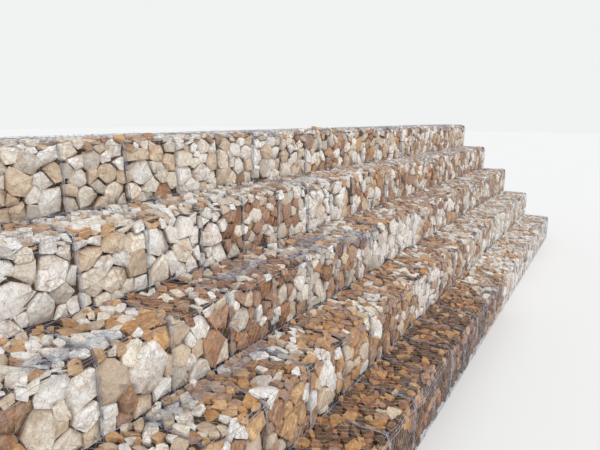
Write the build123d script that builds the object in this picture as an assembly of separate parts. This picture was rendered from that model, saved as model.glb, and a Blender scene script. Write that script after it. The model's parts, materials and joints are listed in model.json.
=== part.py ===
from build123d import *
import os

# Stepped gabion retaining wall: five courses of stone-packed wire baskets.
# Millimetres. X runs along the wall, Y towards the retained ground, Z up.
# The origin is at the foot of the wall, in the middle of its length and depth.

# Driving dimensions
courses = 5
bays = 6
baskets_per_bay = 4
basket_width = 1000         # along the wall, joint to joint
basket_height = 1000        # one course
set_back = 1000             # each course stands this far behind the one below
top_depth = 1000            # depth of the top course
bond_offset = 500           # every second course has its joints this much over
narrowest_basket = 250      # a closing basket is never narrower than this

edge_wire = 12              # the two laced selvedges of neighbouring baskets, as one bundle
face_bulge = 30             # how far packed stones push the front mesh out
bulge_start = 300           # height where the bulge is full
bulge_end = 640             # height where it starts to go back
shoulder_drop = 130         # the tread edge slumps: down the face
shoulder_run = 90           # and back along the tread
shoulder_rise = 60          # height of the slumped edge's upper facet
shoulder_turn = 30          # how far in the face is where that facet starts
edge_bevel = 32             # the stones stay this far out of the other basket edges
joint_bevel = 45            # and this far out of the upright corners at each joint

# Worked out from these
wall_length = bays * baskets_per_bay * basket_width
foot_depth = top_depth + (courses - 1) * set_back
back_y = (foot_depth + face_bulge) / 2
half_length = wall_length / 2


def course_depth(course):
    return top_depth + (courses - course) * set_back


def front_y(course):
    return back_y - course_depth(course)


def foot_z(course):
    return (course - 1) * basket_height


def joint_lines(course):
    """The X of every basket edge along a course, both wall ends included."""
    is_odd = course % 2 == 1
    inner = []
    x = -half_length + (basket_width if is_odd else bond_offset)
    while x <= half_length - narrowest_basket:
        inner.append(x)
        x += basket_width
    return [-half_length] + inner + [half_length]


# The stone packing of one basket: its side profile is run along the wall,
# and the upright corners are taken off by its outline seen from above.

def side_profile(course):
    front = front_y(course)
    low = foot_z(course)
    high = low + basket_height
    return Polygon(
        (front + edge_bevel, low),
        (front, low + edge_bevel),
        (front - face_bulge, low + bulge_start),
        (front - face_bulge, low + bulge_end),
        (front, high - shoulder_drop),
        (front + shoulder_turn, high - shoulder_rise),
        (front + shoulder_run, high),
        (back_y - edge_bevel, high),
        (back_y, high - edge_bevel),
        (back_y, low + edge_bevel),
        (back_y - edge_bevel, low),
        align=None,
    )


def outline_from_above(course, x_low, x_high):
    bulge_y = front_y(course) - face_bulge
    side_y = front_y(course) + edge_bevel
    return Polygon(
        (x_low, side_y),
        (x_low + joint_bevel, bulge_y),
        (x_high - joint_bevel, bulge_y),
        (x_high, side_y),
        (x_high, back_y - edge_bevel),
        (x_high - edge_bevel, back_y),
        (x_low + edge_bevel, back_y),
        (x_low, back_y - edge_bevel),
        align=None,
    )


def stone_packing(course, x_low, x_high):
    side = Plane.YZ.offset(x_low) * side_profile(course)
    above = Plane.XY.offset(foot_z(course)) * outline_from_above(course, x_low, x_high)
    along_wall = extrude(side, x_high - x_low, dir=(1, 0, 0))
    upright = extrude(above, basket_height, dir=(0, 0, 1))
    return (along_wall & upright).solid()


def packing_span(left, right):
    """The stones fill a basket up to the edge wires, which stand in the joint or at the wall's end."""
    x_low = left + (edge_wire if left == -half_length else edge_wire / 2)
    x_high = right - (edge_wire if right == half_length else edge_wire / 2)
    return x_low, x_high


def bay_of_baskets(course, bay):
    lines = joint_lines(course)
    spans = list(zip(lines, lines[1:]))
    first = bay * baskets_per_bay
    last = first + baskets_per_bay if bay < bays - 1 else len(spans)
    return [stone_packing(course, *packing_span(*span)) for span in spans[first:last]]


# The edge wires of a course: four long edges, and in each joint a frame that
# goes up the face, back over the stones and down the back.

def bar(x_low, x_high, y_low, y_high, z_low, z_high):
    size = (x_high - x_low, y_high - y_low, z_high - z_low)
    middle = ((x_low + x_high) / 2, (y_low + y_high) / 2, (z_low + z_high) / 2)
    return Pos(*middle) * Box(*size)


def long_edges(course):
    front, low = front_y(course), foot_z(course)
    high = low + basket_height
    edges = []
    for y in (front, back_y - edge_wire):
        for z in (low, high - edge_wire):
            edges.append(bar(-half_length, half_length, y, y + edge_wire, z, z + edge_wire))
    return edges


def joint_frame(course, x):
    front, low = front_y(course), foot_z(course)
    high = low + basket_height
    x_low = max(x - edge_wire / 2, -half_length)
    x_low = min(x_low, half_length - edge_wire)
    x_high = x_low + edge_wire
    return [
        bar(x_low, x_high, front, front + edge_wire, low, high),
        bar(x_low, x_high, front, back_y, high - edge_wire, high),
        bar(x_low, x_high, back_y - edge_wire, back_y, low, high),
    ]


def cage(course):
    bars = long_edges(course)
    for x in joint_lines(course):
        bars += joint_frame(course, x)
    return Part() + bars


def save(name, solids):
    export_step(Compound(solids), f"parts/{name}.step")


os.makedirs("parts", exist_ok=True)
for course in range(1, courses + 1):
    for bay in range(bays):
        save(f"course_{course}_bay_{bay + 1}", bay_of_baskets(course, bay))
    save(f"course_{course}_cage", cage(course).solids())
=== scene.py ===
# %% [markdown]
# # A stepped gabion wall, one basket at a time
# A gabion is a cage of woven wire that is packed by hand with broken stone. This wall
# has five courses of them, each set back from the one below. The solids of the frame
# give the true size and place of every basket. This script gives them what a solid
# can't: the single stones, the dark gaps between them and the wire over them.

# %% Load the frame and keep its box
import json
import math
from types import SimpleNamespace
import bpy
import numpy as np
from mathutils import Matrix, Vector

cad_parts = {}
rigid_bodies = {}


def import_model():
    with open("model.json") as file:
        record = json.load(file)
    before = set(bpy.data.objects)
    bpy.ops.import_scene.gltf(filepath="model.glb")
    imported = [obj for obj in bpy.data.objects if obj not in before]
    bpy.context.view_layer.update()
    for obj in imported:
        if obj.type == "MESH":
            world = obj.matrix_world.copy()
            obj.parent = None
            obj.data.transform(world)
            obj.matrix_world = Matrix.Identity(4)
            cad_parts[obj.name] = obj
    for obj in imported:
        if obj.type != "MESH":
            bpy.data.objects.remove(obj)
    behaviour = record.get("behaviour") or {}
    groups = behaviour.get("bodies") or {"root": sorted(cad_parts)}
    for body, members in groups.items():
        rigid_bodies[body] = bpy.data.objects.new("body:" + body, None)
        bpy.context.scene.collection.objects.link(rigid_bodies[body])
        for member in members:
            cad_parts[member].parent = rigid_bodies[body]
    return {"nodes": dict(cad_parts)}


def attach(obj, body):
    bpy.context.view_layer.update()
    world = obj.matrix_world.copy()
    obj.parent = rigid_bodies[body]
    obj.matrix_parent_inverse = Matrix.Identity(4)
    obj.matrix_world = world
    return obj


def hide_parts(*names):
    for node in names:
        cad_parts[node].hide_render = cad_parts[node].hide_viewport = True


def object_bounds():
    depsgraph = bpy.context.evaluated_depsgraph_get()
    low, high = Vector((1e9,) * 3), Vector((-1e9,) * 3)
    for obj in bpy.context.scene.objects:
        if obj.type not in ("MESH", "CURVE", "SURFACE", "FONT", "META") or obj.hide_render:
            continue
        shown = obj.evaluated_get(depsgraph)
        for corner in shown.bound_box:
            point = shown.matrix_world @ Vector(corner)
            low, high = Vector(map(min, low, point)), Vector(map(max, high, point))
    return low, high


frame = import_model()
cad_low, cad_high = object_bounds()
wall_box = [[round(part, 3) for part in corner] for corner in (cad_low, cad_high)]
print("nodes:", len(frame["nodes"]), "and the wall's box:", wall_box)

# %% [markdown]
# ## The sizes behind the wall
# Every size comes from the box of the frame or from the basket, which is one metre
# wide and high. Courses count from the ground up. Odd courses have their joints on
# whole metres, and even ones half a basket over, as in a running bond.

# %% Work out the courses and joints
BASKET = 1.0
COURSES = 5
BAYS = 6
BASKETS_PER_BAY = 4
NARROWEST_BASKET = BASKET / 4
FACE_BULGE = 0.030
wall_left, wall_right = cad_low.x, cad_high.x
back_y = cad_high.y
course_ids = range(1, COURSES + 1)
foot_z = {c: (c - 1) * BASKET for c in course_ids}
front_y = {c: back_y - (COURSES - c + 1) * BASKET for c in course_ids}


def joint_lines(course):
    """The X of every basket edge along a course, from one end of the wall to the other."""
    first = BASKET if course % 2 else BASKET / 2
    inner = np.arange(wall_left + first, wall_right - NARROWEST_BASKET, BASKET)
    return [wall_left, *inner.tolist(), wall_right]


def baskets_of_bay(course, bay):
    """The left and right X of each basket of a bay. The last bay takes what is left."""
    lines = joint_lines(course)
    spans = list(zip(lines, lines[1:]))
    first = bay * BASKETS_PER_BAY
    return spans[first:first + BASKETS_PER_BAY] if bay < BAYS - 1 else spans[first:]


print("joints of the top course:", len(joint_lines(COURSES)) - 2)

# %% [markdown]
# ## Following the wire: up the face, over the edge, back along the tread
# Packed stones push each basket's front out like a pillow, some more than others. The
# top edge slumps and isn't straight. The tread swells or sags a little, and rises where
# rubble has gathered at the foot of the next course. A lattice modifier could bend each
# basket so, but the wires have to follow the very same form, and a formula bends both.
# The packing is laid out flat first, as a pattern of x along the wall and s up the face
# and back over the tread, and then bent. A stone that lies across the edge bends with it
# and shows a face and a top, as a corner stone does.

# %% The line up a course's face and back over its tread
EDGE_DROP = 0.11
EDGE_RUN = 0.10
ROUND_THE_EDGE = 0.02
TUCKED_UNDER = 0.03
FACE_POINTS = 14
EDGE_POINTS = 9
TREAD_POINTS = 8


def course_line(course):
    """Points, arc lengths and outward normals of a course's front and tread."""
    low, front = foot_z[course], front_y[course]
    face_z = np.linspace(0.0, BASKET - EDGE_DROP, FACE_POINTS)
    turn = np.linspace(0.0, math.pi / 2, EDGE_POINTS)[1:]
    edge_out = EDGE_RUN * (1 - np.cos(turn))
    edge_z = BASKET - EDGE_DROP + EDGE_DROP * np.sin(turn)
    tread_end = BASKET if course == COURSES else BASKET + TUCKED_UNDER
    tread_out = np.linspace(EDGE_RUN, tread_end, TREAD_POINTS)[1:]
    y = front + np.concatenate((np.zeros(face_z.shape), edge_out, tread_out))
    z = low + np.concatenate((face_z, edge_z, np.full(tread_out.shape, BASKET)))
    step = np.hypot(np.diff(y), np.diff(z))
    s = np.concatenate(([0.0], np.cumsum(step)))
    along_y, along_z = np.gradient(y, s), np.gradient(z, s)
    size = np.hypot(along_y, along_z)
    return {"s": s, "y": y, "z": z, "ny": -along_z / size, "nz": along_y / size}


course_lines = {c: course_line(c) for c in course_ids}
edge_s = BASKET - EDGE_DROP + ROUND_THE_EDGE
print("length of a course's line:", round(float(course_lines[1]["s"][-1]), 2))

# %% Bend the packing over a course
FORM_SEED = 100
BULGE_SHARES = (0.3, 1.4)
EDGE_UNEVEN = 0.020
WAVE_RATES = (2.1, 5.3, 9.7)
EDGE_SLUMPS = (0.0, 0.05)
EDGE_REACH = 0.22
TREAD_SWELL = 0.025
FOOT_RISE = 0.022
FOOT_REACH = 0.10


def bent_place(course):
    """Lays x, s and height over the packing onto a course's front and tread."""
    line, edges = course_lines[course], np.array(joint_lines(course))
    baskets = len(edges) - 1
    rng = np.random.default_rng(FORM_SEED + course)
    bulges = rng.uniform(*BULGE_SHARES, baskets) * FACE_BULGE
    swells = rng.uniform(-1.0, 1.0, baskets) * TREAD_SWELL
    phases = rng.uniform(0, 2 * math.pi, len(WAVE_RATES))
    slumps = rng.uniform(*EDGE_SLUMPS, baskets)
    foot_rise = 0.0 if course == COURSES else FOOT_RISE

    def place(x, s, height):
        k = np.clip(np.searchsorted(edges, x) - 1, 0, baskets - 1)
        across = np.clip((x - edges[k]) / (edges[k + 1] - edges[k]), 0, 1)
        pillow = np.sqrt(4 * across * (1 - across))
        up_face = np.sin(math.pi * np.clip(s / edge_s, 0, 1))
        over_tread = np.sin(math.pi * np.clip((s - edge_s) / (line["s"][-1] - edge_s), 0, 1))
        waves = EDGE_UNEVEN * sum(np.sin(rate * x + phase) for rate, phase in zip(WAVE_RATES, phases))
        near_edge = np.exp(-((s - edge_s) / EDGE_REACH) ** 2)
        y = np.interp(s, line["s"], line["y"]) + height * np.interp(s, line["s"], line["ny"])
        z = np.interp(s, line["s"], line["z"]) + height * np.interp(s, line["s"], line["nz"])
        y -= bulges[k] * pillow * up_face
        z += swells[k] * pillow * over_tread + (waves - slumps[k] * pillow) * near_edge
        z += foot_rise * np.exp(-((s - line["s"][-1]) / FOOT_REACH) ** 2)
        return np.column_stack((x, y, z))
    return place


# %% Lay the packing on a flat back or end
def flat_place(origin, across, outward):
    """Lays across, up and height over the packing onto an upright face."""
    origin, across, outward = (np.array(v, float) for v in (origin, across, outward))
    up = np.array((0.0, 0.0, 1.0))

    def place(u, v, height):
        return origin + np.outer(u, across) + np.outer(v, up) + np.outer(height, outward)
    return place


# %% [markdown]
# ## Stones, shaped once
# Quarried limestone breaks into blocks with flat sides and blunt edges. A face stone
# starts as a low prism of four to eight sides. Its upright corners and its front edge
# are bevelled, the face is poked to a shallow crown, and all corners are pushed about.
# Rubble for the treads starts as a cube and has its corners struck off with bisects, as
# a hammer would. All stay at a few dozen faces, because each is laid hundreds of times.

# %% Helpers for work in edit mode
def start_editing():
    bpy.ops.object.mode_set(mode="EDIT")
    bpy.ops.mesh.select_all(action="SELECT")


def take_stone():
    """Reads a finished model stone into arrays and takes the object away again."""
    stone = bpy.context.object
    bpy.ops.mesh.select_all(action="SELECT")
    bpy.ops.mesh.normals_make_consistent(inside=False)
    bpy.ops.mesh.quads_convert_to_tris()
    bpy.ops.object.mode_set(mode="OBJECT")
    points = np.array([v.co for v in stone.data.vertices])
    faces = np.array([p.vertices for p in stone.data.polygons])
    bpy.data.objects.remove(stone)
    return points, faces


def select_in_edit(choose_edge=None, choose_face=None):
    """Selects the edges or faces of the stone in hand that a test accepts."""
    bpy.ops.mesh.select_all(action="DESELECT")
    bpy.ops.object.mode_set(mode="OBJECT")
    mesh = bpy.context.object.data
    for edge in mesh.edges if choose_edge else ():
        edge.select = choose_edge([mesh.vertices[i].co for i in edge.vertices])
    for face in mesh.polygons if choose_face else ():
        face.select = choose_face(face)
    bpy.ops.object.mode_set(mode="EDIT")


def is_upright(ends):
    """An edge that runs from the back of a block, at -1, to its front, at 1."""
    return abs(ends[0].z - ends[1].z) > 1.0


def is_front_edge(ends):
    return min(ends[0].z, ends[1].z) > 0.99


def is_front(face):
    return face.normal.z > 0.9


# %% Shape a face stone and a piece of rubble
CROWNS = (0.02, 0.18)
BLOCK_SHAKE = 0.12
RUBBLE_SHAKE = 0.14
BLOW_DEPTHS = (0.95, 1.2)
SLIVER = 0.02
SEEDS = 999


def face_block(rng, sides, blunt, corner):
    """A prism with blunt corners and a crowned face towards +Z."""
    bpy.ops.object.select_all(action="DESELECT")
    bpy.ops.mesh.primitive_cylinder_add(vertices=sides, radius=1, depth=2)
    bpy.ops.object.mode_set(mode="EDIT")
    bpy.ops.mesh.select_mode(type="EDGE")
    if corner:
        select_in_edit(choose_edge=is_upright)
        bpy.ops.mesh.bevel(offset=corner, segments=1, affect="EDGES")
    select_in_edit(choose_edge=is_front_edge)
    bpy.ops.mesh.bevel(offset=blunt, segments=1, affect="EDGES")
    bpy.ops.mesh.select_mode(type="FACE")
    select_in_edit(choose_face=is_front)
    bpy.ops.mesh.poke(offset=rng.uniform(*CROWNS))
    bpy.ops.mesh.select_all(action="SELECT")
    seed = int(rng.integers(SEEDS))
    bpy.ops.transform.vertex_random(offset=BLOCK_SHAKE, uniform=0.0, normal=0.0, seed=seed)
    return take_stone()


def rubble_block(rng, blows):
    """A cube with its corners struck off."""
    bpy.ops.object.select_all(action="DESELECT")
    bpy.ops.mesh.primitive_cube_add(size=2)
    start_editing()
    seed = int(rng.integers(SEEDS))
    bpy.ops.transform.vertex_random(offset=RUBBLE_SHAKE, uniform=0.0, normal=0.0, seed=seed)
    for _ in range(blows):
        direction = rng.normal(size=3)
        direction /= np.linalg.norm(direction)
        place = direction * rng.uniform(*BLOW_DEPTHS)
        bpy.ops.mesh.select_all(action="SELECT")
        bpy.ops.mesh.bisect(plane_co=place, plane_no=direction, use_fill=True, clear_outer=True)
    bpy.ops.mesh.select_all(action="SELECT")
    bpy.ops.mesh.remove_doubles(threshold=SLIVER)
    return take_stone()


# %% [markdown]
# ## A stone that fits any bed
# A bed is a polygon between the neighbouring stones. Each point of a model stone is
# noted by the side that it lies before, how far along that side, and its share of the
# way out from the middle. The same notes in another polygon give the fitted stone.

# %% Note where the points of a model stone lie
FIRST_CORNER = math.pi / 2


def note_stone(points, faces, sides):
    """Side, place along it, share of the way out and height of each point of a stone."""
    points = points - (*points[:, :2].mean(axis=0), 0)
    sector = 2 * math.pi / sides
    angle = (np.arctan2(points[:, 1], points[:, 0]) - FIRST_CORNER) % (2 * math.pi)
    side = np.minimum((angle / sector).astype(int), sides - 1)
    within = angle - side * sector
    radius = np.hypot(points[:, 0], points[:, 1])
    before = np.sin(sector - within)
    after = np.sin(within)
    along = after / (after + before)
    edge_radius = math.sin(sector) / (after + before)
    share = np.minimum(radius / edge_radius, 1.0)
    height = points[:, 2] / np.abs(points[:, 2]).max()
    return {"side": side, "along": along, "share": share, "height": height, "faces": faces}


# %% Shape the model stones of each kind
QUARRY_SEED = 11
SIDES = range(4, 9)
RUBBLE_SIDES = 6
FACE_MODELS = 7
BACK_MODELS = 3
RUBBLE_MODELS = 16
SHARPEST = (0.14, 0.05)
BLUNTEST = (0.40, 0.20)
BACK_BLUNT = 0.26
BLOWS = 4
quarry = np.random.default_rng(QUARRY_SEED)
face_stones, back_stones = {}, {}
for sides in SIDES:
    roundings = quarry.uniform(SHARPEST, BLUNTEST, size=(FACE_MODELS, 2))
    blocks = [face_block(quarry, sides, blunt, corner) for blunt, corner in roundings]
    backs = [face_block(quarry, sides, BACK_BLUNT, 0) for _ in range(BACK_MODELS)]
    face_stones[sides] = [note_stone(*block, sides) for block in blocks]
    back_stones[sides] = [note_stone(*block, sides) for block in backs]
rubble = [rubble_block(quarry, BLOWS) for _ in range(RUBBLE_MODELS)]
rubble_stones = [note_stone(*block, RUBBLE_SIDES) for block in rubble]
print("faces of a face stone:", {k: len(v[0]["faces"]) for k, v in face_stones.items()})
print("faces of a back stone:", {k: len(v[0]["faces"]) for k, v in back_stones.items()})
print("faces of a rubble stone:", [len(stone["faces"]) for stone in rubble_stones])

# %% [markdown]
# ## Packing a basket
# A mason sets the largest stones first and fills what is left with smaller ones. The
# packing does the same: it tries places for the largest size, keeps those that don't
# crowd a stone already there, and goes down in size. Each bed then grows to halfway
# to its neighbours, which gives blocks that fit each other. The cuts are a little askew,
# so some stones touch or overlap and others leave a wedge open. That could be done with
# a physics simulation, but this is faster and packs tighter.

# %% Choose beds, the largest first
CROWDING = 0.86
EDGE_ROOM = 0.62


def pack(rng, width, length, size_at, sizes, first=()):
    """Beds as rows of u, v and radius, after the first ones. size_at(v) scales the sizes."""
    beds = np.array(first, float).reshape(-1, 3)
    for size, tries in sizes:
        spots = rng.uniform((0, 0), (width, length), size=(tries, 2))
        for u, v in spots:
            radius = size * size_at(v)
            edge = min(u, width - u, v, length - v)
            if edge < EDGE_ROOM * radius:
                continue
            apart = np.hypot(beds[:, 0] - u, beds[:, 1] - v)
            if (apart > CROWDING * (beds[:, 2] + radius)).all():
                beds = np.vstack((beds, (u, v, radius)))
    return beds


# %% Give each bed its polygon
LARGEST_SPREAD = 1.45
SHORTEST_SIDE = 0.28
NEIGHBOURS = 13
ASKEW = 0.11
GAPS = (-0.012, 0.014)


def cut_outline(outline, normal, limit):
    """The part of a polygon, as a list of points, where point . normal stays under limit."""
    inside = [p[0] * normal[0] + p[1] * normal[1] - limit for p in outline]
    kept = []
    for k, point in enumerate(outline):
        before, here = inside[k - 1], inside[k]
        if (before < 0) != (here < 0):
            last, share = outline[k - 1], before / (before - here)
            kept.append((last[0] + share * (point[0] - last[0]), last[1] + share * (point[1] - last[1])))
        if here < 0:
            kept.append(point)
    return kept


def side_lengths(corners):
    """The length of each side that ends at a corner, round a polygon."""
    return np.linalg.norm(corners - np.roll(corners, 1, axis=0), axis=1)


def bed_outline(rng, beds, i, width, length):
    """The polygon of bed i, round its middle, anticlockwise, with 4 to 8 corners."""
    u, v, radius = beds[i]
    spread = LARGEST_SPREAD * radius
    left, right = max(0, u - spread), min(width, u + spread)
    low, high = max(0, v - spread), min(length, v + spread)
    outline = [(left, low), (right, low), (right, high), (left, high)]
    apart = np.hypot(beds[:, 0] - u, beds[:, 1] - v)
    for j in np.argsort(apart)[1:NEIGHBOURS + 1]:
        normal = (beds[j, :2] - (u, v)) / apart[j]
        halfway = (apart[j] ** 2 + radius ** 2 - beds[j, 2] ** 2) / (2 * apart[j]) - rng.uniform(*GAPS)
        middle = (u, v) + normal * halfway
        turn = math.atan2(normal[1], normal[0]) + rng.normal(0, ASKEW)
        normal = np.array((math.cos(turn), math.sin(turn)))
        outline = cut_outline(outline, normal, middle @ normal)
        if len(outline) < 3:
            return None
    corners = np.array(outline)
    while len(corners) > min(SIDES):
        sides = side_lengths(corners)
        k = int(sides.argmin())
        if sides[k] > SHORTEST_SIDE * radius and len(corners) <= max(SIDES):
            break
        corners[k - 1] = (corners[k] + corners[k - 1]) / 2
        corners = np.delete(corners, k, axis=0)
    if len(corners) < min(SIDES):
        k = int(side_lengths(corners).argmax())
        corners = np.insert(corners, k, (corners[k] + corners[k - 1]) / 2, axis=0)
    return corners


# %% [markdown]
# ## The colours of the stone
# The quarry gave chalk-white, cream and grey-tan limestone, with ochre clay and rust
# brown seams. The baskets were filled load by load, so the mix changes along the wall.
# One random colour for all stones would look even from end to end. So each load is a
# mix of named colours, by weight, and each course is a list of loads with the X where
# each one ends. A stone draws one colour of its load, and the material adds its stains
# and grain.

# %% Name the colours and the loads
def linear(red, green, blue):
    """A colour as it looks on screen, 0 to 255, as the linear values of a shader."""
    return tuple((part / 255) ** 2.2 for part in (red, green, blue))


STONE_COLOURS = {
    "chalk": linear(254, 252, 248),
    "cream": linear(246, 237, 222),
    "grey": linear(216, 209, 199),
    "tan": linear(223, 204, 180),
    "ochre": linear(208, 170, 126),
    "amber": linear(200, 152, 100),
    "brown": linear(176, 144, 122),
    "rust": linear(144, 104, 78),
    # The darkest brown below is partly soil on the stones and partly painted shadow of the trench that the
    # lowest course stands in, which isn't modelled.
    "earth_and_trench_shade": linear(102, 78, 58),
}
LOADS = {
    "field": {"chalk": 1.8, "cream": 2.2, "grey": 5, "tan": 4},
    "white": {"chalk": 12, "cream": 1.5, "grey": 0.6, "tan": 0.4},
    "pale": {"chalk": 8, "cream": 3, "grey": 1, "tan": 2, "brown": 0.5},
    "cream": {"chalk": 5.5, "cream": 3.4, "grey": 0.8, "tan": 2, "brown": 1.2},
    "mottled": {"chalk": 3.6, "cream": 1.8, "grey": 1.4, "tan": 3.4, "ochre": 1.4, "brown": 2.2},
    "tan": {"chalk": 0.8, "cream": 3, "grey": 1, "tan": 6, "brown": 0.8},
    "grey": {"chalk": 0.9, "cream": 0.4, "grey": 5.4, "tan": 1.6, "brown": 4, "rust": 0.8},
    "mixed": {"chalk": 3.2, "cream": 2, "grey": 1.8, "tan": 3, "ochre": 0.8, "brown": 2.6, "rust": 0.4},
    "dun": {"chalk": 3.6, "cream": 1, "grey": 2, "tan": 3, "ochre": 1.4, "amber": 0.4, "brown": 4, "rust": 1},
    "brown": {"chalk": 0.7, "cream": 0.6, "grey": 1, "tan": 1.6, "ochre": 0.4, "brown": 5, "rust": 3.2},
    "warm": {"chalk": 2.4, "cream": 1, "tan": 3.2, "ochre": 3.8, "amber": 0.8, "brown": 3.2, "rust": 0.6},
    "rubble": {"chalk": 3.8, "cream": 2, "tan": 2.4, "ochre": 3.8, "amber": 1.6, "brown": 1},
    "ochre rubble": {"chalk": 2, "cream": 0.8, "tan": 1.6, "ochre": 3, "amber": 3, "brown": 4.4, "rust": 1},
    "pale rubble": {"chalk": 5, "cream": 4, "grey": 1.5, "tan": 2.5, "ochre": 2, "amber": 0.8},
    # The last two loads are for the near end of the lowest course: soil and wet stone, made darker still by
    # painted shadow of the unmodelled trench.
    "damp_and_trench_shade": {"tan": 0.3, "ochre": 1.4, "amber": 3.4, "brown": 1.4, "rust": 3.6, "earth_and_trench_shade": 6},
    "earth_and_trench_shade": {"amber": 0.4, "brown": 1, "rust": 2.5, "earth_and_trench_shade": 9},
}
BACK_LOADS = ("mixed", "dun", "pale", "mixed", "grey", "cream")
REST = math.inf
FACE_LOADS = {
    5: [(-6.8, "field"), (-6.1, "tan"), (-2.2, "pale"), (1.8, "dun"), (REST, "mixed")],
    4: [(-8.6, "white"), (-7.5, "pale"), (-5.9, "white"), (-3.8, "brown"), (-1.9, "white"), (REST, "dun")],
    3: [(-7.5, "mottled"), (-5.6, "brown"), (-2.5, "grey"), (0.5, "white"), (REST, "dun")],
    2: [(-2.0, "warm"), (-0.5, "cream"), (3.4, "dun"), (REST, "cream")],
    # Near its end the lowest course is darker: soil, wet stone and painted shadow of the unmodelled trench.
    1: [(0.6, "earth_and_trench_shade"), (1.8, "damp_and_trench_shade"), (3.0, "warm"), (REST, "cream")],
}
TREAD_LOADS = {
    5: [(REST, "mixed")],
    4: [(-5.0, "pale rubble"), (-2.0, "mixed"), (REST, "rubble")],
    3: [(-8.0, "rubble"), (-5.2, "brown"), (-2.6, "dun"), (3.0, "ochre rubble"), (REST, "rubble")],
    2: [(-8.0, "rubble"), (1.6, "ochre rubble"), (REST, "pale rubble")],
    # Near its end the lowest tread is darker: soil, wet stone and painted shadow of the unmodelled trench.
    1: [(-0.2, "damp_and_trench_shade"), (2.0, "ochre rubble"), (REST, "pale rubble")],
}
print("colours:", len(STONE_COLOURS), "loads:", len(LOADS))

# %% Draw a stone's colour
CLAY_PULL = {
    "chalk": -0.7, "cream": -0.4, "grey": -0.7, "tan": 0.2,
    "ochre": 1.1, "amber": 1.2, "brown": 0.7, "rust": 0.7, "earth_and_trench_shade": 0.5,
}
RUSTY_COLOURS = ("ochre", "amber", "brown", "rust")
BRIGHTNESS = (0.86, 1.10)
PALEST = 0.97


def clay_at(course, x, s):
    """Clay comes in patches: above 0 where there is more of it about, below 0 where less."""
    return math.sin(2.9 * x + 2 * course) + math.sin(4.7 * s - 2.3 * x + course) + math.sin(7.3 * x + 5 * s)


def load_at(stretches, x):
    """The load of the stretch that x lies in."""
    return next(name for end, name in stretches if x <= end)


def shade_of(rng, name):
    """A stone's own version of a named colour, and how rusty the stone is."""
    tint = np.array(STONE_COLOURS[name]) * rng.uniform(*BRIGHTNESS)
    tint *= min(1.0, PALEST / tint.max())
    rusty = rng.uniform(0.2, 1.0) if name in RUSTY_COLOURS else rng.uniform(0.0, 0.6) ** 1.5
    return tint, rusty


def draw_colour(rng, load, clay=0.0):
    """One colour of a load, where clay makes the rusty ones likelier and the pale ones rarer."""
    names = list(LOADS[load])
    weights = np.array([LOADS[load][name] * math.exp(CLAY_PULL[name] * clay) for name in names])
    return shade_of(rng, names[rng.choice(len(names), p=weights / weights.sum())])


# %% [markdown]
# ## Laying the stones
# A copy of a model stone is turned at random, its outline is stretched to its bed and
# its depth is set. Then it is tipped a little, so that no two faces catch the light
# alike. Thousands of copies with bpy.ops would take minutes, so the copies are made as
# arrays and joined to one mesh per bay. Each point keeps its stone's own colour, and as
# marks how rusty the stone is, how deep the point lies in its bed, and a chance number
# that sets the stone's pattern apart. On the back and the ends the mesh is painted, so
# there each point also knows its place on the flat side.

# %% A pile of small parts that becomes one mesh
def put_in_scene(name, data):
    """A new object that holds a mesh, a camera or a lamp."""
    thing = bpy.data.objects.new(name, data)
    bpy.context.scene.collection.objects.link(thing)
    return thing


class Pile:
    """Points and faces of many small parts, joined to one mesh in the end."""

    def __init__(self):
        self.points, self.faces, self.count = [], [], 0

    def add(self, points, faces):
        self.points.append(points)
        self.faces.append(faces + self.count)
        self.count += len(points)

    def make(self, name):
        points = np.vstack(self.points)
        points[:, 2] = np.maximum(points[:, 2], 0.0)
        mesh = bpy.data.meshes.new(name)
        mesh.from_pydata(points.tolist(), [], np.vstack(self.faces).tolist())
        return put_in_scene(name, mesh)


# %% A heap of stones that know their colours
class Heap(Pile):
    """A pile of stones, with the colour, marks and painted place of every point."""

    def __init__(self):
        super().__init__()
        self.tints, self.marks, self.spots = [], [], []

    def add_stone(self, points, faces, tint, rusty, depth, chance, spots=None):
        self.add(points, faces)
        self.tints.append(np.tile((*tint, 1.0), (len(points), 1)))
        marks = np.ones((len(points), 4))
        marks[:, 0], marks[:, 1], marks[:, 2] = rusty, depth, chance
        self.marks.append(marks)
        self.spots.append(np.zeros((len(points), 3)) if spots is None else spots)

    def make(self, name):
        piece = super().make(name)
        for label, values in (("stone_tint", self.tints), ("stone_marks", self.marks)):
            layer = piece.data.attributes.new(label, "FLOAT_COLOR", "POINT")
            layer.data.foreach_set("color", np.vstack(values).ravel())
        layer = piece.data.attributes.new("wire_spot", "FLOAT_VECTOR", "POINT")
        layer.data.foreach_set("vector", np.vstack(self.spots).ravel())
        return piece


# %% Say how each kind of stone is laid
def kind_of_stone(models, relief, tip, thickness, deepest, highest=0.018, spread=1.0):
    """How a kind is laid: models, how far it stands out, its tilt, its depth and its spread."""
    return {
        "models": models, "relief": relief, "tip": tip, "thickness": thickness,
        "deepest": deepest, "highest": highest, "spread": spread,
    }


face_shape = kind_of_stone(face_stones, (-0.044, 0.012), tip=0.14, thickness=0.55, deepest=0.09)
back_shape = kind_of_stone(back_stones, (-0.028, 0.012), tip=0.10, thickness=0.5, deepest=0.08)
rubble_shape = kind_of_stone(
    rubble_stones, (-0.045, 0.014), tip=0.22, thickness=0.55, deepest=0.06, spread=1.22,
)
loose_shape = kind_of_stone(
    rubble_stones, (0.050, 0.065), tip=0.10, thickness=1.0, deepest=0.08, highest=0.1,
)
foot_shape = kind_of_stone(
    rubble_stones, (0.012, 0.034), tip=0.15, thickness=0.9, deepest=0.06, highest=0.045,
)
print("a face stone is laid so:", {key: face_shape[key] for key in ("relief", "tip", "deepest")})

# %% Lay one stone
SPREAD_VARIES = (0.94, 1.07)
OUTLINE_SHAKE = 0.035
SURFACE_SHAKE = 0.05
UNDERSIDE = -0.9
IN_THE_DARK = 0.09


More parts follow.
